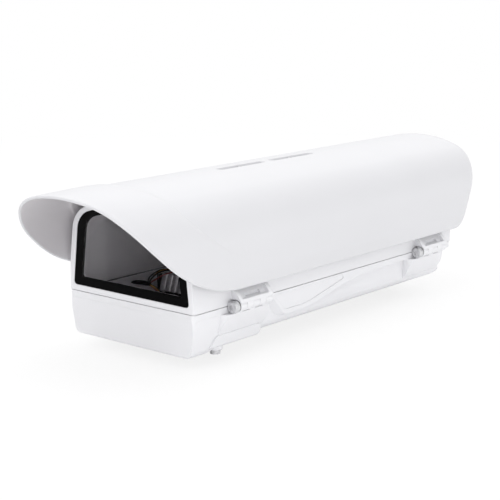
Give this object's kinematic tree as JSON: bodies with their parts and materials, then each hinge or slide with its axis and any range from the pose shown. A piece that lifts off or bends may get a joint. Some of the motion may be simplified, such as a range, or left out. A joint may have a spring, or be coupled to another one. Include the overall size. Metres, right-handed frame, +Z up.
{
  "type": "security camera housing",
  "caption": "Long side-opening outdoor camera housing: tray, hinged lid with black-bordered window, arched sunshield with a swept hood, and bracket holes underneath.",
  "frame": {"origin": "middle of the four bracket holes on the flat underside of the tray", "axes": "+X to the hinged side, +Y from the window to the rear, +Z up"},
  "size_m": [0.1622, 0.505, 0.1434],
  "materials": {
    "body_polymer": "white, satin, fine moulded grain",
    "shield_polymer": "white, satin, smooth",
    "window_glass": "clear, polished",
    "black_rubber": "black, smooth",
    "screw_steel": "dull stainless steel",
    "bright_steel": "bright stainless steel",
    "black_nylon": "black, moulded",
    "plate_aluminium": "rolled sheet",
    "board_green": "green solder resist",
    "terminal_green": "green, moulded"
  },
  "bodies": {
    "base": {"base_tray": "body_polymer", "body_seal": "black_rubber", "hinge_screws": "screw_steel", "hinge_washers": "black_rubber", "accessory_screws": "screw_steel", "accessory_washers": "bright_steel", "gland_body": "black_nylon", "gland_nut": "black_nylon", "gland_seal": "black_rubber", "gland_locknut": "black_nylon", "blanking_plugs": "black_nylon", "plug_washers": "black_rubber", "camera_plate": "plate_aluminium", "plate_screws": "bright_steel", "camera_screw": "bright_steel", "terminal_board": "board_green", "board_screws": "bright_steel", "terminal_block": "terminal_green"},
    "lid": {"lid_shell": "body_polymer", "window_glass": "window_glass", "window_gasket": "black_rubber", "shield_screws": "screw_steel"},
    "shield": {"sunshield": "shield_polymer"},
    "closing_screw_front": {"closing_screw_front": "screw_steel", "closing_washer_front": "black_rubber"},
    "closing_screw_rear": {"closing_screw_rear": "screw_steel", "closing_washer_rear": "black_rubber"}
  },
  "joints": [
    {"name": "lid_hinge", "type": "hinge", "parent": "base", "child": "lid", "pos_m": [0.0751, 0, 0.031], "axis": [0, 1, 0], "range_deg": [0, 100]},
    {"name": "shield_slide", "type": "slide", "parent": "lid", "child": "shield", "axis": [0, 1, 0], "range_m": [-0.02, 0.02]},
    {"name": "front_screw_slide", "type": "slide", "parent": "base", "child": "closing_screw_front", "axis": [0, -1, 0], "range_m": [0, 0.006]},
    {"name": "rear_screw_slide", "type": "slide", "parent": "base", "child": "closing_screw_rear", "axis": [0, -1, 0], "range_m": [0, 0.006]}
  ]
}
